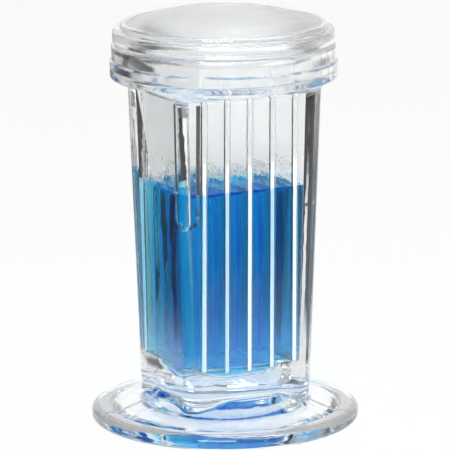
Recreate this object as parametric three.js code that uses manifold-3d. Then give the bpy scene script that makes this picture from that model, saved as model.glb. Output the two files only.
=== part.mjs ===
// Slide staining jar: a pressed glass jar with a domed lid, five slides in grooves, and the stain.
// Millimetres, +Z up. The origin is on the surface the jar stands on, on the axis of foot and mouth.
// X runs along the row of slides and Y along the width of each slide.
import * as THREE from 'three';
import { mergeVertices } from 'three/addons/utils/BufferGeometryUtils.js';
import Module from 'manifold-3d';

const wasm = await Module();
wasm.setup();

// ---------------------------------------------------------------- driving dimensions

// Slides
const slideCount = 5;
const slidePitch = 6.05;
const slideWidth = 25;
const slideHeight = 75;
const slideThickness = 1;
const slideCornerCut = 0.5;

// Grooves in the two side walls, one pair for each slide
const grooveFloor = 15.6;              // height of the ledge that an end slide stands on
const grooveSag = 1.1;                 // the middle slide stands this much lower
const grooveMouth = 1.7;
const grooveBase = 1.3;
const grooveDepth = 0.6;
const grooveSidePlay = 0.2;            // between a slide's edge and the groove, at the ledge
const grooveDraft = 0.3;               // the grooves lie this much further out at the funnel

// Cavity
const endPlay = 1.5;                   // from the last slide's middle to the end wall, at the ledge
const endDraft = 1.5;                  // the end walls lie this much further out at the funnel
const cavityCorner = 0.6;
const ledgeWidth = 3.5;                // from the grooves' back to the dip in the floor
const endLedge = 0.2;                  // from the end walls to the dip
const dishCorner = 6.0;
const dishDepth = 4.1;
const dishFullness = 0.75;             // below 1, the dip's floor is flatter than half an ellipse
const dishOverlap = 1.0;               // the dip's cutter reaches this far up into the cavity

// Walls round the cavity
const endWallFoot = 3.3;
const endWallTop = 4.2;
const sideWallFoot = 2.6;
const sideWallTop = 4.4;
const bodyCornerFoot = 4.2;
const bodyCornerTop = 4.8;

// Foot
const footRadius = 32.8;
const footEdgeHeight = 3.7;
const footEdgeRound = 1.5;
const footRimWidth = 2.2;              // the rim's top rounds over this far in from the edge
const footRimDrop = 1.7;               // and comes down this far to the widest point
const footCreaseInset = 5.2;           // width of the rounded rim outside the crease
const footCreaseDepth = 0.15;
const footSlopeRise = 3.2;             // rise of the foot's top from its edge to the pad
const padProud = 2.6;                  // how far the low round pad reaches past the body's flat sides
const padHeight = 1.1;
const restInset = 1.7;                 // from the foot's edge to the flat ring that it stands on
const restWidth = 5.3;
const puntHeight = 5.5;                // hollow under the foot

// Collar and mouth
const slideHeadroom = 2.7;             // from the top of an end slide to the rim
const mouthRadius = 23.0;
const rimWall = 4.6;
const collarHeight = 8.4;
const collarRound = 0.8;
const collarGrooveBelowRim = 4.8;
const collarGrooveWidth = 1.0;
const collarGrooveDepth = 0.5;
const upperBandStep = 0.4;             // the band above the groove is this much smaller
const flareHeight = 3.2;               // concave sweep from the body out to the collar
const flatLeft = 0.2;                  // half of the flat that is left on each side at the sweep's top
const mouthDepth = 6.3;
const mouthRound = 1.5;                // between the mouth's straight wall and the cone
const funnelRise = 16.5;               // height of the cone below the mouth, down to its tip

// Lid
const lidSetback = 0.7;                // the lid's flange is this much smaller than the collar
const lidFlangeHeight = 3.5;
const lidFlangeRound = 0.7;
const lidShoulderWidth = 1.9;
const lidEdgeHeight = 1.0;             // steep side of the dome above the shoulder
const lidDomeRise = 4.2;
const lidWall = 3.6;
const plugPlay = 0.6;                  // between the plug ring and the mouth
const plugDepth = 2.4;
const plugWall = 2.6;
const plugBevel = 0.4;

// Stain
const stainLevel = 58.0;
const stainGap = 0.3;                  // kept to the jar's glass and to the slides

// Faceting
const roundSegments = 56;
const cornerSegments = 8;
const dishSteps = 5;
const flareSteps = 5;
const domeSteps = 8;

// ---------------------------------------------------------------- sizes that follow

const rimHeight = grooveFloor + slideHeight + slideHeadroom;
const collarRadius = mouthRadius + rimWall;
const collarFoot = rimHeight - collarHeight;
const flareFoot = collarFoot - flareHeight;
const funnelTop = rimHeight - mouthDepth;
const funnelTip = funnelTop - funnelRise;
const grooveX = (index) => (index - (slideCount - 1) / 2) * slidePitch;
const lastGrooveX = grooveX(slideCount - 1);
const ledgeHeight = (x) => grooveFloor - grooveSag * (1 - (x / lastGrooveX) ** 2);
const lidFlangeRadius = collarRadius - lidSetback;

// Half sizes of the cavity at the ledges and at the funnel: X to the end walls, Y to the ribs.
const cavityFoot = {
  halfX: lastGrooveX + endPlay,
  grooveY: slideWidth / 2 + grooveSidePlay,
};
const cavityTop = {
  halfX: cavityFoot.halfX + endDraft,
  grooveY: cavityFoot.grooveY + grooveDraft,
};

// Half sizes of the body's outline, { halfX, halfY, corner }, at the foot and below the collar.
const bodyFoot = {
  halfX: cavityFoot.halfX + endWallFoot,
  halfY: cavityFoot.grooveY + sideWallFoot,
  corner: bodyCornerFoot,
};
const bodyTop = {
  halfX: cavityTop.halfX + endWallTop,
  halfY: cavityTop.grooveY + sideWallTop,
  corner: bodyCornerTop,
};
const padRadius = bodyFoot.halfY + padProud;

// ---------------------------------------------------------------- helpers

// A closed geometry as a solid that can be joined and cut.
function solid(geometry) {
  geometry.deleteAttribute('normal');
  geometry.deleteAttribute('uv');
  const merged = mergeVertices(geometry, 1e-4);
  const vertProperties = new Float32Array(merged.attributes.position.array);
  const triVerts = new Uint32Array(merged.index.array);
  return new wasm.Manifold(new wasm.Mesh({ numProp: 3, vertProperties, triVerts }));
}

// A solid as a named mesh.
function meshOf(name, piece, material) {
  const { vertProperties, triVerts } = piece.getMesh();
  const geometry = new THREE.BufferGeometry();
  geometry.setAttribute('position', new THREE.BufferAttribute(new Float32Array(vertProperties), 3));
  geometry.setIndex(new THREE.BufferAttribute(new Uint32Array(triVerts), 1));
  geometry.computeVertexNormals();
  const mesh = new THREE.Mesh(geometry, material);
  mesh.name = name;
  return mesh;
}

// A profile of [radius, height] points turned round the Z axis. It starts and ends on the axis.
function turned(profile) {
  const points = profile.map(([radius, height]) => new THREE.Vector2(radius, height));
  const geometry = new THREE.LatheGeometry(points, roundSegments);
  geometry.rotateX(Math.PI / 2);
  return solid(geometry);
}

// Points along an elliptical arc, as [across, up] pairs, with angles in degrees.
function arc(centre, radii, from, to, steps) {
  const points = [];
  for (let step = 0; step <= steps; step += 1) {
    const angle = THREE.MathUtils.degToRad(from + ((to - from) * step) / steps);
    points.push([centre[0] + radii[0] * Math.cos(angle), centre[1] + radii[1] * Math.sin(angle)]);
  }
  return points;
}

// A rounded rectangle, counterclockwise, as [x, y] pairs.
function roundedRectangle(halfX, halfY, corner) {
  const quarters = [[1, 1], [-1, 1], [-1, -1], [1, -1]];
  return quarters.flatMap(([signX, signY], quarter) => {
    const centre = [signX * (halfX - corner), signY * (halfY - corner)];
    return arc(centre, [corner, corner], 90 * quarter, 90 * (quarter + 1), cornerSegments);
  });
}

// A solid lofted through sections of equal point count, each { outline, z }, from the lowest up.
function lofted(sections) {
  const count = sections[0].outline.length;
  const positions = sections.flatMap(({ outline, z }) => outline.flatMap(([x, y]) => [x, y, z]));
  const indices = [];
  for (let row = 0; row < sections.length - 1; row += 1) {
    for (let column = 0; column < count; column += 1) {
      const next = (column + 1) % count;
      const low = row * count;
      const high = low + count;
      indices.push(low + column, low + next, high + next);
      indices.push(low + column, high + next, high + column);
    }
  }
  const capOf = ({ outline }) => {
    const corners = outline.map(([x, y]) => new THREE.Vector2(x, y));
    return THREE.ShapeUtils.triangulateShape(corners, []);
  };
  const topStart = (sections.length - 1) * count;
  capOf(sections[0]).forEach(([a, b, c]) => indices.push(a, c, b));
  capOf(sections[sections.length - 1]).forEach((face) => {
    indices.push(...face.map((corner) => corner + topStart));
  });
  const geometry = new THREE.BufferGeometry();
  geometry.setAttribute('position', new THREE.BufferAttribute(new Float32Array(positions), 3));
  geometry.setIndex(indices);
  return solid(geometry);
}

const joined = (pieces) => pieces.reduce((whole, piece) => whole.add(piece));
const cutBy = (piece, cutters) => cutters.reduce((rest, cutter) => rest.subtract(cutter), piece);

// ---------------------------------------------------------------- inside of the jar

// The dip in the cavity's floor, drawn in by an inset. Its outline closes to nothing at the bottom.
function dishSpace(inset) {
  const halfX = cavityFoot.halfX - endLedge - inset;
  const halfY = cavityFoot.grooveY - ledgeWidth - inset;
  const outline = roundedRectangle(halfX, halfY, dishCorner - inset);
  const sections = [];
  for (let step = 0; step <= dishSteps; step += 1) {
    const angle = THREE.MathUtils.degToRad(15 + (75 * step) / dishSteps);
    const share = Math.sin(angle) ** dishFullness;
    const z = grooveFloor - (dishDepth - inset) * Math.cos(angle);
    sections.push({ outline: outline.map(([x, y]) => [x * share, y * share]), z });
  }
  sections.push({ outline, z: grooveFloor + dishOverlap });
  return lofted(sections);
}

// The cavity between ribs and end walls, drawn in by an inset, up to a top height, with its dished floor.
// It widens from the ledges to the funnel by the pressing draft.
function cavitySpace(inset, top) {
  const corner = cavityCorner - inset / 2;
  const sectionAt = (z) => {
    const draft = (z - grooveFloor) / (funnelTop - grooveFloor);
    const halfX = THREE.MathUtils.lerp(cavityFoot.halfX, cavityTop.halfX, draft);
    const grooveY = THREE.MathUtils.lerp(cavityFoot.grooveY, cavityTop.grooveY, draft);
    return { outline: roundedRectangle(halfX - inset, grooveY - grooveDepth - inset, corner), z };
  };
  return joined([lofted([sectionAt(grooveFloor + inset), sectionAt(top)]), dishSpace(inset)]);
}

// One pair of facing grooves, for the slide at x. The cut runs through the cavity between them and
// ends at the height where the slide stands, on the slightly hollow row of ledges.
function groovePair(x) {
  const outlineAt = ({ grooveY }) => {
    const ribY = grooveY - grooveDepth;
    const half = [[grooveMouth / 2, -ribY], [grooveMouth / 2, ribY], [grooveBase / 2, grooveY]];
    const other = half.map(([across, y]) => [-across, -y]);
    const outline = [[grooveBase / 2, -grooveY], ...half, ...other, [-grooveBase / 2, grooveY]];
    const around = (a, b) => Math.atan2(a[1], a[0]) - Math.atan2(b[1], b[0]);
    return outline.sort(around).map(([across, y]) => [x + across, y]);
  };
  const low = { outline: outlineAt(cavityFoot), z: ledgeHeight(x) };
  const high = { outline: outlineAt(cavityTop), z: funnelTop };
  return lofted([low, high]);
}

// The round mouth and the cone that leads slides from it down into the cavity.
function mouthSpace() {
  const above = rimHeight + 1;
  const coneFoot = [0, funnelTip];
  const coneTop = arc([mouthRadius - mouthRound, funnelTop], [mouthRound, mouthRound], -60, 0, 3);
  return turned([coneFoot, ...coneTop, [mouthRadius, above], [0, above]]);
}

// ---------------------------------------------------------------- outside of the jar

// The foot: a flat resting ring, a rounded edge, a crease, and a sloping top with a low round pad.
function footForm() {
  const round = footEdgeRound;
  const restOuter = footRadius - restInset;
  const punt = arc([0, 0], [restOuter - restWidth, puntHeight], 90, 0, 6);
  const lowEdge = arc([footRadius - round, round], [round, round], -70, -10, 3);
  const rimCentre = [footRadius - footRimWidth, footEdgeHeight - footRimDrop];
  const highEdge = arc(rimCentre, [footRimWidth, footRimDrop], 0, 90, 5);
  const slopeTop = footEdgeHeight + footSlopeRise;
  const creaseHeight = footEdgeHeight - footCreaseDepth;
  const slope = [[footRadius - footCreaseInset, creaseHeight], [padRadius + padHeight / 2, slopeTop]];
  const padEdge = arc([padRadius - padHeight, slopeTop], [padHeight, padHeight], 30, 90, 3);
  const top = [0, slopeTop + padHeight];
  return turned([...punt, [restOuter, 0], ...lowEdge, ...highEdge, ...slope, ...padEdge, top]);
}

// The squarish body with its draft, and the concave sweep at its top that carries the collar.
function bodyForm() {
  const low = [bodyFoot.halfX, bodyFoot.halfY, bodyFoot.corner];
  const high = [bodyTop.halfX, bodyTop.halfY, bodyTop.corner];
  const collarHalf = collarRadius - collarRound;
  const round = [collarHalf, collarHalf, collarHalf - flatLeft];
  const blend = (from, to, share) => from.map((value, at) => THREE.MathUtils.lerp(value, to[at], share));
  const sections = [{ outline: roundedRectangle(...low), z: footEdgeHeight }];
  for (let step = 0; step <= flareSteps; step += 1) {
    const angle = ((step / flareSteps) * Math.PI) / 2;
    const outline = roundedRectangle(...blend(high, round, 1 - Math.cos(angle)));
    sections.push({ outline, z: flareFoot + flareHeight * Math.sin(angle) });
  }
  sections.push({ outline: roundedRectangle(...round), z: collarFoot + collarRound });
  return lofted(sections);
}

// The collar: a lower band, a shallow groove, and a slightly smaller upper band that ends in the rim.
function collarForm() {
  const round = collarRound;
  const upperRadius = collarRadius - upperBandStep;
  const grooveHeight = rimHeight - collarGrooveBelowRim;
  const halfGroove = collarGrooveWidth / 2;
  const lowEdge = arc([collarRadius - round, collarFoot + round], [round, round], -90, 0, 3);
  const groove = [
    [collarRadius, grooveHeight - halfGroove],
    [collarRadius - collarGrooveDepth, grooveHeight],
    [upperRadius, grooveHeight + halfGroove],
  ];
  const rimEdge = arc([upperRadius - round, rimHeight - round], [round, round], 0, 90, 3);
  return turned([[0, collarFoot], ...lowEdge, ...groove, ...rimEdge, [0, rimHeight]]);
}

function jar() {
  const outside = joined([footForm(), bodyForm(), collarForm()]);
  const grooves = Array.from({ length: slideCount }, (_, index) => groovePair(grooveX(index)));
  return cutBy(outside, [cavitySpace(0, funnelTop), ...grooves, mouthSpace()]);
}

// ---------------------------------------------------------------- lid

// A domed cap: a flange that rests on the rim, and a plug ring that keeps it centred in the mouth.
function lid() {
  const seat = rimHeight;
  const round = lidFlangeRound;
  const flangeTop = seat + lidFlangeHeight;
  const domeRadius = lidFlangeRadius - lidShoulderWidth;
  const domeFoot = flangeTop + lidEdgeHeight;
  const plugRadius = mouthRadius - plugPlay;
  const plugFoot = seat - plugDepth;
  const hollowRadius = plugRadius - plugWall;
  const underRise = domeFoot + lidDomeRise - lidWall;
  const hollow = arc([0, seat], [hollowRadius, underRise - seat], 90, 0, domeSteps);
  const plug = [
    [hollowRadius, plugFoot + plugBevel],
    [hollowRadius + plugBevel, plugFoot],
    [plugRadius - plugBevel, plugFoot],
    [plugRadius, plugFoot + plugBevel],
    [plugRadius, seat],
  ];
  const flangeLow = arc([lidFlangeRadius - round, seat + round], [round, round], -90, 0, 3);
  const flangeHigh = arc([lidFlangeRadius - round, flangeTop - round], [round, round], 0, 90, 3);
  const dome = [];
  for (let step = 0; step <= domeSteps; step += 1) {
    const share = 1 - step / domeSteps;
    dome.push([domeRadius * share, domeFoot + lidDomeRise * (1 - share * share)]);
  }
  return turned([...hollow, ...plug, ...flangeLow, ...flangeHigh, [domeRadius, flangeTop], ...dome]);
}

// ---------------------------------------------------------------- slides and stain

// A slide's outline grown by a margin on every side, as a solid standing at x.
function slideForm(x, margin) {
  const halfWidth = slideWidth / 2 + margin;
  const foot = ledgeHeight(x) - margin;
  const top = ledgeHeight(x) + slideHeight + margin;
  const cut = slideCornerCut;
  const shape = new THREE.Shape([
    new THREE.Vector2(-halfWidth + cut, foot),
    new THREE.Vector2(halfWidth - cut, foot),
    new THREE.Vector2(halfWidth, foot + cut),
    new THREE.Vector2(halfWidth, top - cut),
    new THREE.Vector2(halfWidth - cut, top),
    new THREE.Vector2(-halfWidth + cut, top),
    new THREE.Vector2(-halfWidth, top - cut),
    new THREE.Vector2(-halfWidth, foot + cut),
  ]);
  const depth = slideThickness + 2 * margin;
  const geometry = new THREE.ExtrudeGeometry(shape, { depth, bevelEnabled: false });
  geometry.translate(0, 0, -depth / 2);
  geometry.rotateX(Math.PI / 2);
  geometry.rotateZ(Math.PI / 2);
  geometry.translate(x, 0, 0);
  return solid(geometry);
}

// The stain fills the cavity between the ribs up to its level, round the slides that stand in it.
function stain() {
  const pockets = Array.from({ length: slideCount }, (_, index) => slideForm(grooveX(index), stainGap));
  return cutBy(cavitySpace(stainGap, stainLevel), pockets);
}

// ---------------------------------------------------------------- the object

const clearGlass = new THREE.MeshStandardMaterial({ color: 0xe9edf2, roughness: 0.05, metalness: 0 });
const frostedGlass = new THREE.MeshStandardMaterial({ color: 0xdfe3e6, roughness: 0.5, metalness: 0 });
const blueStain = new THREE.MeshStandardMaterial({ color: 0x2a66c0, roughness: 0.1, metalness: 0 });

const group = new THREE.Group();
group.add(meshOf('jar', jar(), clearGlass));
group.add(meshOf('lid', lid(), clearGlass));
for (let index = 0; index < slideCount; index += 1) {
  group.add(meshOf(`slide_${index + 1}`, slideForm(grooveX(index), 0), frostedGlass));
}
group.add(meshOf('stain', stain(), blueStain));

export default group;
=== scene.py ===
import math

import bmesh
import bpy
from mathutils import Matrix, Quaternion, Vector

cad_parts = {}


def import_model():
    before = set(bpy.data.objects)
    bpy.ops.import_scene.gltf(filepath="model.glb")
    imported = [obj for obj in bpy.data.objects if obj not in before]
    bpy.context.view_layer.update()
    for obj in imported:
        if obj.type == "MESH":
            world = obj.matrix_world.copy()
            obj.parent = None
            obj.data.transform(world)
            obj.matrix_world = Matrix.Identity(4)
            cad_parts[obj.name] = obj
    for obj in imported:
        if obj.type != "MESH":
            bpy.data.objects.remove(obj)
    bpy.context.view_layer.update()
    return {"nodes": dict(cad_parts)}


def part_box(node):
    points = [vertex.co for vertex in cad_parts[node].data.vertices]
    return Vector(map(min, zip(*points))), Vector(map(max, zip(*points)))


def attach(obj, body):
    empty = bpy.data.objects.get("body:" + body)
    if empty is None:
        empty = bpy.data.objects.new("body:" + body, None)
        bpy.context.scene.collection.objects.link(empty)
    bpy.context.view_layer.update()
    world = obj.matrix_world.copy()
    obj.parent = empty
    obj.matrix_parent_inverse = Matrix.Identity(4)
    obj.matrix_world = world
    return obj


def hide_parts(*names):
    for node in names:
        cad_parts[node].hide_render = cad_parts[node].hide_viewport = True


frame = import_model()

scene = bpy.context.scene
mm = 0.001

# ---------------------------------------------------------------- sizes, in millimetres

SLIDES = sorted(name for name in frame["nodes"] if name.startswith("slide_"))


def box_mm(node):
    """The low and high corners of a CAD node, in millimetres."""
    return tuple(Vector(corner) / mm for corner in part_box(node))


slide_low, slide_high = box_mm(SLIDES[0])
jar_high = box_mm("jar")[1]
lid_low, lid_high = box_mm("lid")
stain_high = box_mm("stain")[1]
SLIDE_X = [sum(corner.x for corner in box_mm(name)) / 2 for name in SLIDES]

FOOT_RADIUS = jar_high.x
RIM_HEIGHT = jar_high.z
LEDGE = slide_low.z                    # where the end slides stand
SLIDE_FEET = [box_mm(name)[0].z for name in SLIDES]
HALF_SLIDE = slide_high.y
HALF_THICKNESS = 0.5                   # of a slide
GROUND_EDGE = 0.09                     # taken off a slide's edges
STAIN_LEVEL = stain_high.z

GROOVE_MOUTH = 1.7
GROOVE_BASE = 1.3
GROOVE_DEPTH = 0.6
GROOVE_ROUND = 0.12
GROOVE_Y_FOOT = HALF_SLIDE + 0.1
GROOVE_Y_TOP = GROOVE_Y_FOOT + 0.15
END_X_FOOT = max(SLIDE_X) + 1.5
END_X_TOP = END_X_FOOT + 1.5
DISH = (11.3, 9.2, 4.1)                # half x, half y and depth of the dip in the floor
DISH_CORNER = 6.0
DISH_SWELL = 0.75                      # under 1, the dish is fuller than an ellipse
CAVITY_OVERLAP = 1.0                   # how far the dish and the pockets run up into the cavity
POCKET_DEPTH = 0.1                     # a slide lower than this under the ledge has a pocket
FROST_FOOT = 66.0                      # the slides are ground above this height
MENISCUS = (1.4, 1.0)                  # rise at the glass, and the reach of the curve
AIR_HEIGHT = 8.0                       # of the block that cuts the stain's surface
STAIN_SPARE = 3.0                      # the stain is made this much too high and then cut

BODY_FOOT = (END_X_FOOT + 3.3, GROOVE_Y_FOOT + 2.7, 4.2)      # half x, half y, corner
BODY_TOP = (END_X_TOP + 4.2, GROOVE_Y_TOP + 4.65, 4.8)
BODY_START = 10.0                      # height of the lowest ring of the walls

FOOT_EDGE_HEIGHT = 3.7
FOOT_EDGE_ROUND = 1.5
FOOT_RIM = (2.2, 1.7)                  # width and drop of the rim's rounded top
CREASE_RADIUS = FOOT_RADIUS - 5.2
CREASE = ((1.0, 0.06), (0.6, 0.35), (0.3, 0.5))      # out from its radius, and down
SLOPE_RISE = 3.2
PAD_RADIUS = BODY_FOOT[1] + 2.6
PAD_HEIGHT = 1.1
PAD_ROUND = 0.55
REST_OUTER = FOOT_RADIUS - 1.7
REST_INNER = REST_OUTER - 4.0
PUNT_HEIGHT = 4.4
PUNT_STEP = 2.2                        # the hollow under the foot follows its sloping top
PUNT_RADIUS = 16.5
PUNT_SLOPE_START = 17.4
JUNCTION_ROUND = 0.6                   # fillet between foot and body
JUNCTION_REACH = 2.8                   # within it the foot's rings follow the body's outline

MOUTH_RADIUS = 23.0
MOUTH_ROUND = 1.5
COLLAR_RADIUS = MOUTH_RADIUS + 4.6
COLLAR_FOOT = RIM_HEIGHT - 8.4
COLLAR_ROUND = 0.8
COLLAR_GROOVE = RIM_HEIGHT - 3.8
GROOVE_HALF = 0.5                      # half the height of the collar's groove, and its depth
UPPER_BAND = COLLAR_RADIUS - 0.4
FLARE_HEIGHT = 3.2
FLARE_FOOT = COLLAR_FOOT - FLARE_HEIGHT
FUNNEL_TOP = RIM_HEIGHT - 6.3
SHOULDER = (19.2, FUNNEL_TOP - 4.2)    # below it the funnel is steep above and shallow inside
FUNNEL_FOOT = (12.0, FUNNEL_TOP - 5.4)

FLANGE_RADIUS = lid_high.x
FLANGE_TOP = RIM_HEIGHT + 3.5
FLANGE_ROUND = 0.7
DOME_RADIUS = FLANGE_RADIUS - 1.9
DOME_FOOT = FLANGE_TOP + 1.0
DOME_EDGE = 0.9
DOME_WALL = 3.6
PLUG_RADIUS = MOUTH_RADIUS - 0.6
PLUG_FOOT = lid_low.z
PLUG_EDGE = 0.4
HOLLOW_RADIUS = PLUG_RADIUS - 2.6

FLAT_POINTS = 6                        # points along half of a flat side
CORNER_POINTS = 20                     # points round a corner

JAR_TINT = (0.985, 0.99, 0.993)
SLIDE_TINT = (0.985, 0.994, 0.992)
JAR_WAVES = 0.2 * mm
LID_WAVES = 0.35 * mm
SEAM_OFFSET = 1.6                      # |x| - |y| along the mould's parting lines
SEAM_WIDTH = 0.9
SEAM_RISE = 0.5                        # this rise and the next ones are times the jar's waves
STRIP_OFFSET = 3.4                     # |x| - |y| along the middle of the corner strips
STRIP_HALF = 2.6
STRIP_EDGE = 0.8
STRIP_FOOT = 53.5
STRIP_RISE = 3.0
FOOT_BARS = (math.radians(-43), math.radians(174))
BAR_HALF = 0.5
BAR_EDGE = 0.3
BAR_RISE = 1.2

SPECK_DULLNESS = 0.25                  # the dullness of each finish is a roughness
FOOT_DULLNESS = 0.03                   # the underside of the foot
BAR_DULLNESS = 0.5
CONE_DULLNESS = 0.2
CONE_REACH = 16                        # radius within which the funnel is dull
MOUTH_DULLNESS = 0.12
LID_DULLNESS = 0.15
LID_STREAKS = 0.5
FROST_ROUGHNESS = 0.3
FROST_MATT = 0.28
EDGE_MATT = 0.95
STAIN_COLOUR = (0.2, 0.845, 0.965, 1)
STAIN_STRENGTH = 340
# painted shade: the darker tint of the upright streaks in the grooves
STREAK_SHADE_TINT = (0.45, 0.65, 0.92, 1)
DROP_HEIGHT = 0.14 * mm

VIEW_TURN = math.radians(26)           # the room's back wall is this far round from +Y towards +X
VIEW_RISE = math.radians(12.56)
VIEW_ROLL = math.radians(-0.22)
VIEW_HEIGHT = 48.05 * mm
VIEW_DISTANCE = 0.915
LENS = 300.1
SENSOR = 36
LENS_SHIFT = 0.0014
WALL_REACH = (0.34, 0.56)              # white wall behind: full, then faded out, to either side
WALL_START = (0.1, 0.4)
WALL_TOP = (0.65, 0.85)
WALL_LEVEL = 1.0
CEILING_START = (0.5, 0.8)
OVERHEAD = 0.5
ROOM_REACH = (-0.3, 0.6)
ROOM_LEVELS = (0.10, 0.30)             # from the left to the right of the room
FLOOR_SIZE = 4                         # in metres, as the sheet's edges are
FLOOR_PALE = 0.85
FLOOR_DARK = 0.08
SHEET_LEFT = (-0.115, -0.055)          # edges of the white sheet under the jar
SHEET_FRONT = (-0.12, -0.04)
SHEET_LEVEL = 0.84
SHEET_GLOW = (0.10, 0.28)              # painted light: to rays from the glass the sheet glows, more towards the wall
LAMP_AIM = 50 * mm

OVERLAP = 0.04                         # liquid into glass, and slides into liquid
LID_GAP = 0.03                         # keeps the lid's seat off the rim

# ---------------------------------------------------------------- modelling helpers


def start_fresh():
    """Leaves nothing selected, in object mode."""
    if bpy.context.object and bpy.context.object.mode != "OBJECT":
        bpy.ops.object.mode_set(mode="OBJECT")
    bpy.ops.object.select_all(action="DESELECT")


def activate(piece):
    """Selects one piece alone and makes it active."""
    start_fresh()
    piece.select_set(True)
    bpy.context.view_layer.objects.active = piece


def arc(centre, radii, start, end, steps):
    """Points of an elliptical arc as (across, up), with angles in degrees."""
    points = []
    for step in range(steps + 1):
        angle = math.radians(start + (end - start) * step / steps)
        points.append((centre[0] + radii[0] * math.cos(angle), centre[1] + radii[1] * math.sin(angle)))
    return points


def extruded_rings(name, rings):
    """A closed skin: the face inside the first ring is extruded from ring to ring."""
    start_fresh()
    count = len(rings[0])
    bpy.ops.mesh.primitive_circle_add(vertices=count, radius=mm, fill_type="NGON")
    piece = bpy.context.object
    piece.name = name
    bpy.ops.object.mode_set(mode="EDIT")
    for index, ring in enumerate(rings):
        if index:
            bpy.ops.mesh.extrude_region_move()
        cage = bmesh.from_edit_mesh(piece.data)
        cage.verts.ensure_lookup_table()
        for vertex, point in zip(cage.verts[-count:], ring):
            vertex.co = Vector(point) * mm
        bmesh.update_edit_mesh(piece.data)
    bpy.ops.mesh.select_all(action="SELECT")
    bpy.ops.mesh.normals_make_consistent(inside=False)
    bpy.ops.object.mode_set(mode="OBJECT")
    return piece


def rounded_outline(half_x, half_y, corner):
    """A rounded rectangle as (x, y) points, counterclockwise from the middle of its +X side."""
    centre = (half_x - corner, half_y - corner)
    side = [(half_x, centre[1] * step / FLAT_POINTS) for step in range(FLAT_POINTS)]
    bend = arc(centre, (corner, corner), 0, 90, CORNER_POINTS)
    front = [(centre[0] * (1 - step / FLAT_POINTS), half_y) for step in range(1, FLAT_POINTS)]
    quarter = side + bend + front
    turned_quarter = [(-x, y) for x, y in reversed(quarter[1:])]
    half = quarter + [(0.0, half_y)] + turned_quarter
    return half + [(-x, -y) for x, y in half]


BODY_DIRECTIONS = [math.atan2(y, x) for x, y in rounded_outline(*BODY_FOOT)]


def circle_outline(radius):
    """A circle whose points lie on the same rays as the body's outline."""
    return [(radius * math.cos(angle), radius * math.sin(angle)) for angle in BODY_DIRECTIONS]


def at_height(outline, height):
    """A level ring."""
    return [(x, y, height) for x, y in outline]


def mixed(one, other, share):
    """A blend of two equal lists of points or numbers."""
    if isinstance(one, (int, float)):
        return one + (other - one) * share
    return [mixed(a, b, share) for a, b in zip(one, other)]


def circle_rings(profile):
    """Round rings from (radius, height) points."""
    return [at_height(circle_outline(radius), height) for radius, height in profile]


def combined(piece, other, operation):
    """Joins or cuts a piece by another, which is used up."""
    activate(piece)
    modifier = piece.modifiers.new(operation.lower(), "BOOLEAN")
    modifier.operation = operation
    modifier.object = other
    modifier.solver = "EXACT"
    bpy.ops.object.modifier_apply(modifier=modifier.name)
    bpy.data.objects.remove(other)
    return piece


def smoothed(piece, degrees=30):
    """Shades a piece smooth, except at sharper edges."""
    activate(piece)
    bpy.ops.object.shade_smooth_by_angle(angle=math.radians(degrees))
    return piece


# ---------------------------------------------------------------- jar, outside


def foot_top_height(x, y):
    """Height of the foot's sloping top, with its low round pad, at a point."""
    radius = math.hypot(x, y)
    slope_foot = PAD_RADIUS + PAD_ROUND
    share = (CREASE_RADIUS - radius) / (CREASE_RADIUS - slope_foot)
    slope = FOOT_EDGE_HEIGHT + SLOPE_RISE * max(0.0, min(1.0, share))
    step = max(0.0, min(1.0, (slope_foot - radius) / (2 * PAD_ROUND)))
    return slope + PAD_HEIGHT * step * step * (3 - 2 * step)


def offset_outline(distance):
    """The body's outline at the foot, grown by a distance."""
    half_x, half_y, corner = BODY_FOOT
    return rounded_outline(half_x + distance, half_y + distance, corner + distance)


def foot_rings():
    """The skin from the middle of the underside, over the foot, to the body's walls."""
    punt = arc((0, PUNT_STEP), (PUNT_RADIUS, PUNT_HEIGHT - PUNT_STEP), 84, 20, 6)
    for step in range(7):
        swing = math.cos(math.radians(30 * step))
        punt.append((mixed(PUNT_SLOPE_START, REST_INNER, step / 6), PUNT_STEP * (1 + swing) / 2))
    low_centre = (FOOT_RADIUS - FOOT_EDGE_ROUND, FOOT_EDGE_ROUND)
    low_edge = arc(low_centre, (FOOT_EDGE_ROUND,) * 2, -75, -5, 6)
    high_centre = (FOOT_RADIUS - FOOT_RIM[0], FOOT_EDGE_HEIGHT - FOOT_RIM[1])
    high_edge = arc(high_centre, FOOT_RIM, 0, 90, 8)
    crease = [(CREASE_RADIUS + out, FOOT_EDGE_HEIGHT - down) for out, down in CREASE]
    rings = circle_rings(punt + [(REST_OUTER, 0)] + low_edge + high_edge + crease)
    crease_outline = circle_outline(CREASE_RADIUS)
    outer = offset_outline(JUNCTION_REACH)
    for step in range(1, 8):
        points = mixed(crease_outline, outer, step / 7)
        rings.append([(x, y, foot_top_height(x, y)) for x, y in points])
    for step in range(1, 9):
        points = offset_outline(JUNCTION_REACH + (JUNCTION_ROUND - JUNCTION_REACH) * step / 8)
        rings.append([(x, y, foot_top_height(x, y)) for x, y in points])
    fillet = arc((JUNCTION_ROUND, JUNCTION_ROUND), (JUNCTION_ROUND,) * 2, 180, 250, 4)
    for away, up in reversed(fillet):
        points = offset_outline(away)
        rings.append([(x, y, foot_top_height(x, y) + up) for x, y in points])
    return rings


def body_rings():
    """The walls, and the flare that turns from their outline to the round collar."""
    rings = []
    for step in range(13):
        height = BODY_START + (FLARE_FOOT - BODY_START) * step / 12
        share = (height - FOOT_EDGE_HEIGHT) / (FLARE_FOOT - FOOT_EDGE_HEIGHT)
        rings.append(at_height(rounded_outline(*mixed(BODY_FOOT, BODY_TOP, share)), height))
    body_top = rounded_outline(*BODY_TOP)
    collar = circle_outline(COLLAR_RADIUS - COLLAR_ROUND)
    for step in range(1, 9):
        angle = math.radians(90 * step / 8)
        points = mixed(body_top, collar, 1 - math.cos(angle))
        rings.append(at_height(points, FLARE_FOOT + FLARE_HEIGHT * math.sin(angle)))
    return rings


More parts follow.
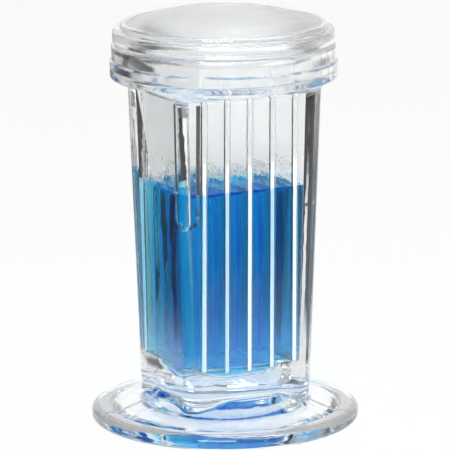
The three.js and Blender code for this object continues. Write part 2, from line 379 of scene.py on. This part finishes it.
def collar_rings():
    """The collar with its groove, and the flat top of the rim."""
    low_centre = (COLLAR_RADIUS - COLLAR_ROUND, COLLAR_FOOT + COLLAR_ROUND)
    low_edge = arc(low_centre, (COLLAR_ROUND,) * 2, -75, 0, 5)
    groove = [
        (COLLAR_RADIUS, COLLAR_GROOVE - GROOVE_HALF),
        (COLLAR_RADIUS - 0.15, COLLAR_GROOVE - 0.3),
        (COLLAR_RADIUS - GROOVE_HALF, COLLAR_GROOVE),
        (UPPER_BAND - 0.1, COLLAR_GROOVE + 0.3),
        (UPPER_BAND, COLLAR_GROOVE + GROOVE_HALF),
    ]
    rim_centre = (UPPER_BAND - COLLAR_ROUND, RIM_HEIGHT - COLLAR_ROUND)
    rim_edge = arc(rim_centre, (COLLAR_ROUND,) * 2, 0, 90, 6)
    return circle_rings(low_edge + groove + rim_edge + [(5.0, RIM_HEIGHT)])


# ---------------------------------------------------------------- jar, inside


def filleted(points, radius, steps):
    """A polygon with its corners rounded."""
    outline = []
    count = len(points)
    for index, point in enumerate(points):
        here = Vector(point)
        back = Vector(points[index - 1]) - here
        ahead = Vector(points[(index + 1) % count]) - here
        reach = min(radius, back.length * 0.45, ahead.length * 0.45)
        first = here + back.normalized() * reach
        last = here + ahead.normalized() * reach
        for step in range(steps + 1):
            share = step / steps
            curve = first * (1 - share) ** 2 + here * (2 * share * (1 - share)) + last * share ** 2
            outline.append(tuple(curve))
    return outline


def comb_outline(end_x, groove_y, grow):
    """The cavity's outline with its grooves, grown by a distance."""
    rib_y = groove_y - GROOVE_DEPTH + grow
    deep_y = groove_y + grow
    front = []
    for x in reversed(SLIDE_X):
        front += [
            (x + GROOVE_MOUTH / 2 + grow, rib_y),
            (x + GROOVE_BASE / 2 + grow, deep_y),
            (x - GROOVE_BASE / 2 - grow, deep_y),
            (x - GROOVE_MOUTH / 2 - grow, rib_y),
        ]
    half = [(end_x + grow, rib_y)] + front + [(-end_x - grow, rib_y)]
    return filleted(half + [(-x, -y) for x, y in half], GROOVE_ROUND, 4)


def cavity_space(name, grow, top):
    """The grooved cavity with its dished floor, up to a height."""
    share = (top - LEDGE) / (FUNNEL_TOP - LEDGE)
    low = comb_outline(END_X_FOOT, GROOVE_Y_FOOT, grow)
    top_x = mixed(END_X_FOOT, END_X_TOP, share)
    high = comb_outline(top_x, mixed(GROOVE_Y_FOOT, GROOVE_Y_TOP, share), grow)
    grooved = extruded_rings(name, [at_height(low, LEDGE - grow), at_height(high, top)])
    half_x, half_y, depth = DISH
    rim = rounded_outline(half_x + grow, half_y + grow, DISH_CORNER)
    rings = []
    for step in range(10):
        angle = math.radians(6 + 84 * step / 9)
        reach = math.sin(angle) ** DISH_SWELL
        rings.append([(x * reach, y * reach, LEDGE - (depth + grow) * math.cos(angle)) for x, y in rim])
    rings.append(at_height(rim, LEDGE + CAVITY_OVERLAP))
    space = combined(grooved, extruded_rings("dish", rings), "UNION")
    for x, foot in zip(SLIDE_X, SLIDE_FEET):
        if foot < LEDGE - POCKET_DEPTH:
            low = Vector((x - GROOVE_BASE / 2 - grow, -GROOVE_Y_FOOT - grow, foot - grow))
            high = Vector((x + GROOVE_BASE / 2 + grow, GROOVE_Y_FOOT + grow, LEDGE + CAVITY_OVERLAP))
            space = combined(space, slab("pocket", low, high), "UNION")
    return space


def mouth_space():
    """The round mouth, with the funnel of two slopes that leads down to the cavity."""
    cone = [(0.5, FUNNEL_FOOT[1] - 0.1), FUNNEL_FOOT, SHOULDER]
    edge = arc((MOUTH_RADIUS - MOUTH_ROUND, FUNNEL_TOP), (MOUTH_ROUND,) * 2, -60, 0, 5)
    return extruded_rings("mouth", circle_rings(cone + edge + [(MOUTH_RADIUS, RIM_HEIGHT + 1)]))


def jar():
    """The jar's skin with the grooved cavity and the mouth cut out."""
    skin = extruded_rings("jar_glass", foot_rings() + body_rings() + collar_rings())
    space = combined(cavity_space("cavity", 0, FUNNEL_TOP - 1), mouth_space(), "UNION")
    return smoothed(combined(skin, space, "DIFFERENCE"))


# ---------------------------------------------------------------- lid


def lid():
    """A domed lid, hollow underneath, whose plug hangs in the mouth."""
    seat = RIM_HEIGHT + LID_GAP
    hollow = arc((0, RIM_HEIGHT), (HOLLOW_RADIUS, lid_high.z - DOME_WALL - RIM_HEIGHT), 86, 0, 14)
    plug = [
        (HOLLOW_RADIUS, PLUG_FOOT + PLUG_EDGE),
        (HOLLOW_RADIUS + PLUG_EDGE, PLUG_FOOT),
        (PLUG_RADIUS - PLUG_EDGE, PLUG_FOOT),
        (PLUG_RADIUS, PLUG_FOOT + PLUG_EDGE),
        (PLUG_RADIUS, seat),
    ]
    low_edge = arc((FLANGE_RADIUS - FLANGE_ROUND, seat + FLANGE_ROUND), (FLANGE_ROUND,) * 2, -90, 0, 5)
    high_centre = (FLANGE_RADIUS - FLANGE_ROUND, FLANGE_TOP - FLANGE_ROUND)
    high_edge = arc(high_centre, (FLANGE_ROUND,) * 2, 0, 90, 5)
    shoulder = [(DOME_RADIUS + 0.3, FLANGE_TOP), (DOME_RADIUS + 0.05, FLANGE_TOP + 0.25)]
    edge = arc((DOME_RADIUS - DOME_EDGE, DOME_FOOT - 0.35), (DOME_EDGE,) * 2, 0, 60, 4)
    dome = []
    for step in range(1, 22):
        share = 1 - step / 22
        dome.append((DOME_RADIUS * share, DOME_FOOT + (lid_high.z - DOME_FOOT) * (1 - share * share)))
    profile = hollow + plug + low_edge + high_edge + shoulder + edge + dome
    return smoothed(extruded_rings("lid_glass", circle_rings(profile)))


# ---------------------------------------------------------------- slides and stain


def slab(name, low, high):
    """A block between two corners in millimetres."""
    start_fresh()
    bpy.ops.mesh.primitive_cube_add(size=1, location=(low + high) / 2 * mm, scale=(high - low) * mm)
    piece = bpy.context.object
    bpy.ops.object.transform_apply(location=True, rotation=True, scale=True)
    piece.name = name
    return piece


def slide(node):
    """A plate with its edges ground off a little."""
    piece = slab(node + "_glass", *box_mm(node))
    modifier = piece.modifiers.new("ground_edges", "BEVEL")
    modifier.width = GROUND_EDGE * mm
    modifier.segments = 2
    bpy.ops.object.modifier_apply(modifier=modifier.name)
    return smoothed(piece, 20)


def surface_rise(x, y, end_x, rib_y):
    """How far the stain climbs above its level, near the walls and the slides."""
    rise, reach = MENISCUS
    gaps = [end_x - abs(x), rib_y - abs(y)]
    gaps += [abs(x - slide_x) - HALF_THICKNESS for slide_x in SLIDE_X]
    return rise * math.exp(-max(0.0, min(gaps)) / reach)


def air_above_stain():
    """A block whose underside is the stain's curved surface."""
    share = (STAIN_LEVEL - LEDGE) / (FUNNEL_TOP - LEDGE)
    end_x = mixed(END_X_FOOT, END_X_TOP, share)
    groove_y = mixed(GROOVE_Y_FOOT, GROOVE_Y_TOP, share)
    start_fresh()
    bpy.ops.mesh.primitive_grid_add(x_subdivisions=128, y_subdivisions=96, size=1)
    piece = bpy.context.object
    piece.name = "air"
    bpy.ops.object.mode_set(mode="EDIT")
    bpy.ops.mesh.extrude_region_move(TRANSFORM_OT_translate={"value": (0, 0, 1)})
    bpy.ops.object.mode_set(mode="OBJECT")
    for vertex in piece.data.vertices:
        x = vertex.co.x * 2 * (end_x + 1)
        y = vertex.co.y * 2 * (groove_y + 1)
        top = vertex.co.z > 0.5
        rise = AIR_HEIGHT if top else surface_rise(x, y, end_x, groove_y - GROOVE_DEPTH)
        vertex.co = Vector((x, y, STAIN_LEVEL + rise)) * mm
    activate(piece)
    bpy.ops.object.mode_set(mode="EDIT")
    bpy.ops.mesh.select_all(action="SELECT")
    bpy.ops.mesh.normals_make_consistent(inside=False)
    bpy.ops.object.mode_set(mode="OBJECT")
    return piece


def stain():
    """The stain fills the cavity, curves up at its edges and has the slides cut out."""
    liquid = cavity_space("stain_liquid", OVERLAP, STAIN_LEVEL + STAIN_SPARE)
    liquid = combined(liquid, air_above_stain(), "DIFFERENCE")
    inset = Vector((OVERLAP, OVERLAP, OVERLAP))
    for node in SLIDES:
        low, high = box_mm(node)
        liquid = combined(liquid, slab("cut", low + inset, high - inset), "DIFFERENCE")
    return smoothed(liquid)


# ---------------------------------------------------------------- materials


def glass(name, colour, roughness, ior=1.5):
    """Clear glass whose shadow rays pass straight through."""
    material = bpy.data.materials.new(name)
    material.use_nodes = True
    tree = material.node_tree
    shader = tree.nodes["Principled BSDF"]
    shader.inputs["Base Color"].default_value = (*colour, 1)
    shader.inputs["Roughness"].default_value = roughness
    shader.inputs["IOR"].default_value = ior
    shader.inputs["Transmission Weight"].default_value = 1
    clear = tree.nodes.new("ShaderNodeBsdfTransparent")
    clear.inputs["Color"].default_value = (*colour, 1)
    path = tree.nodes.new("ShaderNodeLightPath")
    mix = tree.nodes.new("ShaderNodeMixShader")
    tree.links.new(path.outputs["Is Shadow Ray"], mix.inputs["Fac"])
    tree.links.new(shader.outputs["BSDF"], mix.inputs[1])
    tree.links.new(clear.outputs["BSDF"], mix.inputs[2])
    tree.links.new(mix.outputs["Shader"], tree.nodes["Material Output"].inputs["Surface"])
    return material


def chain(tree, operation, *inputs, clamp=False):
    """A Math node fed by numbers or sockets; gives its output."""
    node = tree.nodes.new("ShaderNodeMath")
    node.operation = operation
    node.use_clamp = clamp
    for socket, value in zip(node.inputs, inputs):
        if isinstance(value, (int, float)):
            socket.default_value = value
        else:
            tree.links.new(value, socket)
    return node.outputs["Value"]


def soft_step(tree, value, low, high, bottom=0.0, top=1.0):
    """Rises smoothly from one value to another between two limits."""
    node = tree.nodes.new("ShaderNodeMapRange")
    node.interpolation_type = "SMOOTHSTEP"
    tree.links.new(value, node.inputs["Value"])
    for name, number in (("From Min", low), ("From Max", high), ("To Min", bottom), ("To Max", top)):
        node.inputs[name].default_value = number
    return node.outputs["Result"]


def along(tree, vector, direction):
    """How far a vector points along a direction."""
    node = tree.nodes.new("ShaderNodeVectorMath")
    node.operation = "DOT_PRODUCT"
    tree.links.new(vector, node.inputs[0])
    node.inputs[1].default_value = direction
    return node.outputs["Value"]


def above(tree, value, limit, edge):
    """Rises from 0 to 1 over an edge that starts at a limit, both in millimetres."""
    return soft_step(tree, value, limit * mm, (limit + edge) * mm)


def below(tree, value, limit, edge):
    """Falls from 1 to 0 over an edge that starts at a limit, both in millimetres."""
    return soft_step(tree, value, limit * mm, (limit + edge) * mm, 1, 0)


def product(tree, first, *others):
    """Several masks or numbers multiplied together."""
    for other in others:
        first = chain(tree, "MULTIPLY", first, other)
    return first


def hypotenuse(tree, one, other):
    """The length of the slope over two lengths."""
    squares = chain(tree, "ADD", product(tree, one, one), product(tree, other, other))
    return chain(tree, "SQRT", squares)


def object_place(tree):
    """Object coordinates, and their X, Y and Z."""
    place = tree.nodes.new("ShaderNodeTexCoord").outputs["Object"]
    split = tree.nodes.new("ShaderNodeSeparateXYZ")
    tree.links.new(place, split.inputs["Vector"])
    return place, split.outputs["X"], split.outputs["Y"], split.outputs["Z"]


def noise(tree, place, scale, detail=2.0, stretch=(1, 1, 1)):
    """Noise from 0 to 1, with features smaller along an axis that is stretched more."""
    spread = tree.nodes.new("ShaderNodeVectorMath")
    spread.operation = "MULTIPLY"
    tree.links.new(place, spread.inputs[0])
    spread.inputs[1].default_value = stretch
    node = tree.nodes.new("ShaderNodeTexNoise")
    tree.links.new(spread.outputs["Vector"], node.inputs["Vector"])
    node.inputs["Scale"].default_value = scale
    node.inputs["Detail"].default_value = detail
    return node.outputs["Fac"]


def colour_mix(tree, share, first, second):
    """A colour between two, by a share."""
    node = tree.nodes.new("ShaderNodeMix")
    node.data_type = "RGBA"
    tree.links.new(share, node.inputs["Factor"])
    for letter, colour in (("A", first), ("B", second)):
        socket = [each for each in node.inputs if each.name == letter and each.type == "RGBA"][0]
        socket.default_value = colour
    return [each for each in node.outputs if each.type == "RGBA"][0]


def effect(name, output, build):
    """A node group with one number as its output."""
    group = bpy.data.node_groups.new(name, "ShaderNodeTree")
    group.interface.new_socket(name=output, in_out="OUTPUT", socket_type="NodeSocketFloat")
    result = group.nodes.new("NodeGroupOutput")
    group.links.new(build(group), result.inputs[output])
    return group


def use(tree, group):
    """Places an effect in a material and gives its output."""
    node = tree.nodes.new("ShaderNodeGroup")
    node.node_tree = group
    return node.outputs[0]


def pressed_height(tree):
    """The slow waves that a mould and cooling leave in pressed glass."""
    place = object_place(tree)[0]
    slow = noise(tree, place, 45, 1.0)
    fine = noise(tree, place, 260, 2.0)
    return chain(tree, "MULTIPLY_ADD", fine, 0.12, slow)


def speck_roughness(tree):
    """Small dull marks scattered over the glass."""
    place = object_place(tree)[0]
    spots = noise(tree, place, 900, 2.0)
    patches = noise(tree, place, 60, 1.0)
    marks = soft_step(tree, spots, 0.68, 0.74, 0, SPECK_DULLNESS)
    return product(tree, marks, soft_step(tree, patches, 0.5, 0.65))


def bump(tree, height, distance):
    """Lets a height turn the shader's normal."""
    node = tree.nodes.new("ShaderNodeBump")
    node.inputs["Strength"].default_value = 1.0
    node.inputs["Distance"].default_value = distance
    tree.links.new(height, node.inputs["Height"])
    tree.links.new(node.outputs["Normal"], tree.nodes["Principled BSDF"].inputs["Normal"])


def set_roughness(tree, value):
    tree.links.new(value, tree.nodes["Principled BSDF"].inputs["Roughness"])


def corner_gap(tree, x, y):
    """How much greater |x| is than |y|."""
    return chain(tree, "SUBTRACT", chain(tree, "ABSOLUTE", x), chain(tree, "ABSOLUTE", y))


def same_signs(tree, x, y):
    """1 in the two opposite corners where x and y are both positive or both negative."""
    return chain(tree, "GREATER_THAN", product(tree, x, y), 0.0)


def corner_strips(tree, x, y, z):
    """Mask of the strips with round feet that run down two corners of the body."""
    aside = chain(tree, "SUBTRACT", corner_gap(tree, x, y), STRIP_OFFSET * mm)
    under = chain(tree, "MINIMUM", chain(tree, "SUBTRACT", z, STRIP_FOOT * mm), 0.0)
    strip = below(tree, hypotenuse(tree, aside, under), STRIP_HALF - STRIP_EDGE, STRIP_EDGE)
    return product(tree, strip, same_signs(tree, x, y), below(tree, z, FLARE_FOOT - 0.5, 0.5))


def parting_line(tree, place, x, y):
    """Mask of the mould's ragged, broken parting line in the other two corners."""
    off_seam = chain(tree, "SUBTRACT", corner_gap(tree, x, y), SEAM_OFFSET * mm)
    ragged = chain(tree, "MULTIPLY", noise(tree, place, 700, 3.0), SEAM_WIDTH * mm)
    line = chain(tree, "DIVIDE", chain(tree, "ABSOLUTE", off_seam), ragged)
    line = soft_step(tree, line, 0.2, 1.0, 1, 0)
    elsewhere = chain(tree, "SUBTRACT", 1.0, same_signs(tree, x, y))
    return product(tree, line, noise(tree, place, 500, 2.0), elsewhere)


def foot_bars(tree, place, z):
    """Mask of the bars that cross the top of the foot."""
    bars = 0.0
    for direction in FOOT_BARS:
        outward = Vector((math.cos(direction), math.sin(direction), 0))
        across = chain(tree, "ABSOLUTE", along(tree, place, (-outward.y, outward.x, 0)))
        ahead = above(tree, along(tree, place, outward), 0, 1)
        bar = product(tree, below(tree, across, BAR_HALF, BAR_EDGE), ahead)
        bars = chain(tree, "MAXIMUM", bars, bar)
    return product(tree, bars, above(tree, z, 3.0, 0.2), below(tree, z, 8.0, 0.5))


def jar_material():
    """Clear pressed glass, dull under the foot, on its bars and inside the mouth."""
    material = glass("jar_glass", JAR_TINT, 0.0)
    tree = material.node_tree
    place, x, y, z = object_place(tree)
    bars = foot_bars(tree, place, z)
    height = use(tree, PRESSED)
    marks = (
        (corner_strips(tree, x, y, z), STRIP_RISE),
        (parting_line(tree, place, x, y), SEAM_RISE),
        (bars, BAR_RISE),
    )
    for mask, rise in marks:
        height = chain(tree, "MULTIPLY_ADD", mask, rise, height)
    bump(tree, height, JAR_WAVES)
    radius = hypotenuse(tree, x, y)
    under_foot = product(tree, below(tree, z, 3.4, 0.1), below(tree, radius, 26.5, 0.5))
    cone = product(tree, above(tree, z, FUNNEL_FOOT[1] - 0.8, 0.2), below(tree, radius, CONE_REACH, 1))
    in_mouth = below(tree, radius, MOUTH_RADIUS + 0.1, 0.3)
    wall = product(tree, above(tree, z, FUNNEL_TOP - 1.5, 0.5), below(tree, z, RIM_HEIGHT - 0.2, 0.1))
    finishes = (
        (under_foot, FOOT_DULLNESS),
        (bars, BAR_DULLNESS),
        (cone, CONE_DULLNESS),
        (product(tree, wall, in_mouth), MOUTH_DULLNESS),
    )
    dull = use(tree, SPECKS)
    for mask, dullness in finishes:
        dull = chain(tree, "MAXIMUM", dull, product(tree, mask, dullness))
    set_roughness(tree, dull)
    return material


def lid_material():
    """Clear glass, with a streaky dullness over the whole dome."""
    material = glass("lid_glass", JAR_TINT, 0.0)
    tree = material.node_tree
    place, x, y, z = object_place(tree)
    bump(tree, use(tree, PRESSED), LID_WAVES)
    within = below(tree, hypotenuse(tree, x, y), DOME_RADIUS - 1.6, 1.6 - DOME_EDGE)
    on_dome = product(tree, within, above(tree, z, FLANGE_TOP, 0.2))
    streaks = noise(tree, place, 120, 3.0, (1, 4, 1))
    dull = product(tree, on_dome, chain(tree, "MULTIPLY_ADD", streaks, LID_STREAKS, LID_DULLNESS))
    set_roughness(tree, chain(tree, "MAXIMUM", dull, use(tree, SPECKS)))
    return material


def liquid_material():
    """Blue stain, with faint upright streaks of painted shade where it stands in the grooves."""
    material = glass("blue_stain", (1, 1, 1), 0.0, 1.33)
    tree = material.node_tree
    place, _, y, _ = object_place(tree)
    # painted shade: upright streaks darken the stain where it stands in the grooves
    streaks = noise(tree, place, 260, 2.0, (1, 1, 0.03))
    in_grooves = above(tree, chain(tree, "ABSOLUTE", y), HALF_SLIDE, 0.1)
    share = product(tree, soft_step(tree, streaks, 0.42, 0.58, 1, 0), in_grooves)
    painted_shade_tint = colour_mix(tree, share, (1, 1, 1, 1), STREAK_SHADE_TINT)
    tree.links.new(painted_shade_tint, tree.nodes["Principled BSDF"].inputs["Base Color"])
    absorb = tree.nodes.new("ShaderNodeVolumeAbsorption")
    absorb.inputs["Color"].default_value = STAIN_COLOUR
    absorb.inputs["Density"].default_value = STAIN_STRENGTH
    tree.links.new(absorb.outputs["Volume"], tree.nodes["Material Output"].inputs["Volume"])
    return material


def make_matt(tree, share):
    """Mixes a matt white into the glass, by a share."""
    matt = tree.nodes.new("ShaderNodeBsdfDiffuse")
    matt.inputs["Color"].default_value = (1, 1, 1, 1)
    blend = tree.nodes.new("ShaderNodeMixShader")
    tree.links.new(share, blend.inputs["Fac"])
    tree.links.new(tree.nodes["Principled BSDF"].outputs["BSDF"], blend.inputs[1])
    tree.links.new(matt.outputs["BSDF"], blend.inputs[2])
    tree.links.new(blend.outputs["Shader"], tree.nodes["Mix Shader"].inputs[1])


def drop_height(tree, place, z):
    """Small drops that cling above the stain."""
    cells = tree.nodes.new("ShaderNodeTexVoronoi")
    tree.links.new(place, cells.inputs["Vector"])
    cells.inputs["Scale"].default_value = 900
    drops = soft_step(tree, cells.outputs["Distance"], 0.0, 0.42, 1, 0)
    patches = soft_step(tree, noise(tree, place, 400, 1.0), 0.48, 0.56)
    return product(tree, drops, above(tree, z, STAIN_LEVEL + 0.5, 2.5), patches)


def slide_material():
    """Clear glass, ground dull at its upper end, with matt long edges and drops above the stain."""
    material = glass("slide_glass", SLIDE_TINT, 0.0)
    tree = material.node_tree
    place, x, y, z = object_place(tree)
    # the middle slides stand lower, and their ground ends with them
    aside = chain(tree, "DIVIDE", x, max(SLIDE_X) * mm)
    fall = (LEDGE - min(SLIDE_FEET)) * mm
    ground_foot = chain(tree, "MULTIPLY_ADD", product(tree, aside, aside), fall, FROST_FOOT * mm - fall)
    ground = above(tree, chain(tree, "SUBTRACT", z, ground_foot), 0, 0.1)
    polished = chain(tree, "SUBTRACT", 1.0, ground)
    rough = product(tree, ground, FROST_ROUGHNESS)
    set_roughness(tree, chain(tree, "MAXIMUM", rough, use(tree, SPECKS)))
    edges = above(tree, chain(tree, "ABSOLUTE", y), HALF_SLIDE - 0.06, 0.04)
    edges = product(tree, edges, EDGE_MATT, polished)
    make_matt(tree, chain(tree, "MULTIPLY_ADD", ground, FROST_MATT, edges))
    bump(tree, product(tree, drop_height(tree, place, z), polished), DROP_HEIGHT)
    return material


def dress(piece, material):
    """Gives a piece its material and its place in the part."""
    piece.data.materials.clear()
    piece.data.materials.append(material)
    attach(piece, "root")


# ---------------------------------------------------------------- stage


def camera():
    """A long lens, a little above the jar."""
    data = bpy.data.cameras.new("camera")
    seen = bpy.data.objects.new("camera", data)
    scene.collection.objects.link(seen)
    level = math.cos(VIEW_RISE)
    away = Vector((math.sin(-VIEW_TURN) * level, -math.cos(-VIEW_TURN) * level, math.sin(VIEW_RISE)))
    seen.location = Vector((0, 0, VIEW_HEIGHT)) + away * VIEW_DISTANCE
    tilt = Quaternion((0, 0, 1), VIEW_ROLL)
    seen.rotation_euler = ((-away).to_track_quat("-Z", "Y") @ tilt).to_euler()
    data.lens = LENS
    data.sensor_width = SENSOR
    data.shift_x = LENS_SHIFT
    scene.camera = seen


def sideways(tree, vector):
    """How far a vector points to the right of the room, and how far towards its back wall."""
    aside = along(tree, vector, (math.cos(VIEW_TURN), -math.sin(VIEW_TURN), 0))
    ahead = along(tree, vector, (math.sin(VIEW_TURN), math.cos(VIEW_TURN), 0))
    return aside, ahead


def world():
    """White to the camera; to everything else a dim room with a white wall behind the jar."""
    scene.world = bpy.data.worlds.new("studio")
    scene.world.use_nodes = True
    tree = scene.world.node_tree
    place = tree.nodes.new("ShaderNodeTexCoord").outputs["Generated"]
    aside, ahead = sideways(tree, place)
    up = along(tree, place, (0, 0, 1))
    wall = soft_step(tree, chain(tree, "ABSOLUTE", aside), *WALL_REACH, WALL_LEVEL, 0)
    wall = product(tree, wall, soft_step(tree, ahead, *WALL_START), soft_step(tree, up, *WALL_TOP, 1, 0))
    room = soft_step(tree, aside, *ROOM_REACH, *ROOM_LEVELS)
    over = soft_step(tree, up, *CEILING_START, 0, OVERHEAD)
    level = chain(tree, "MAXIMUM", chain(tree, "MAXIMUM", wall, over), room)
    path = tree.nodes.new("ShaderNodeLightPath")
    level = chain(tree, "MAXIMUM", level, path.outputs["Is Camera Ray"])
    tree.nodes["Background"].inputs["Color"].default_value = (1, 1, 1, 1)
    tree.links.new(level, tree.nodes["Background"].inputs["Strength"])


def floor():
    """A white sheet in a dark room, which to the camera goes on for ever."""
    start_fresh()
    bpy.ops.mesh.primitive_plane_add(size=FLOOR_SIZE)
    piece = bpy.context.object
    piece.name = "floor"
    material = bpy.data.materials.new("pale_floor")
    material.use_nodes = True
    tree = material.node_tree
    tree.nodes.remove(tree.nodes["Principled BSDF"])
    place = tree.nodes.new("ShaderNodeTexCoord").outputs["Object"]
    aside, ahead = sideways(tree, place)
    sheet = product(tree, soft_step(tree, aside, *SHEET_LEFT), soft_step(tree, ahead, *SHEET_FRONT))
    path = tree.nodes.new("ShaderNodeLightPath")
    pale = chain(tree, "MAXIMUM", product(tree, sheet, SHEET_LEVEL), path.outputs["Is Camera Ray"])
    shade = chain(tree, "MULTIPLY_ADD", pale, FLOOR_PALE, FLOOR_DARK)
    matt = tree.nodes.new("ShaderNodeBsdfDiffuse")
    tree.links.new(shade, matt.inputs["Color"])
    glow = tree.nodes.new("ShaderNodeEmission")
    through, mirrored = path.outputs["Is Transmission Ray"], path.outputs["Is Glossy Ray"]
    seen_in_glass = chain(tree, "ADD", through, mirrored, clamp=True)
    # painted light: the sheet glows to rays from the glass, more strongly towards the wall
    lit = product(tree, soft_step(tree, ahead, *SHEET_GLOW), seen_in_glass, sheet)
    share = chain(tree, "MAXIMUM", product(tree, path.outputs["Is Camera Ray"], FLOOR_PALE), lit)
    mix = tree.nodes.new("ShaderNodeMixShader")
    tree.links.new(share, mix.inputs["Fac"])
    tree.links.new(matt.outputs["BSDF"], mix.inputs[1])
    tree.links.new(glow.outputs["Emission"], mix.inputs[2])
    tree.links.new(mix.outputs["Shader"], tree.nodes["Material Output"].inputs["Surface"])
    piece.data.materials.append(material)


def lamp(name, place, size, power):
    """A square soft light that points at the middle of the jar."""
    data = bpy.data.lights.new(name, "AREA")
    data.size = size
    data.energy = power
    piece = bpy.data.objects.new(name, data)
    scene.collection.objects.link(piece)
    piece.location = place
    away = Vector(place) - Vector((0, 0, LAMP_AIM))
    piece.rotation_euler = away.to_track_quat("Z", "Y").to_euler()


camera()
world()
floor()
lamp("overhead", (0.25, -0.1, 0.9), 1.2, 4)
lamp("front_left", (-0.45, -0.7, 0.5), 0.5, 7)

PRESSED = effect("pressed_height", "Height", pressed_height)
SPECKS = effect("speck_roughness", "Roughness", speck_roughness)

jar_piece = jar()
lid_piece = lid()
stain_piece = stain()
dress(jar_piece, jar_material())
dress(lid_piece, lid_material())
dress(stain_piece, liquid_material())
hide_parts("jar")
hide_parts("lid")
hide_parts("stain")
slide_glass = slide_material()
for node in SLIDES:
    piece = slide(node)
    dress(piece, slide_glass)
    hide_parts(node)

scene.view_settings.view_transform = "Standard"
scene.cycles.max_bounces = 40
scene.cycles.glossy_bounces = 40
scene.cycles.transmission_bounces = 40
scene.cycles.transparent_max_bounces = 40
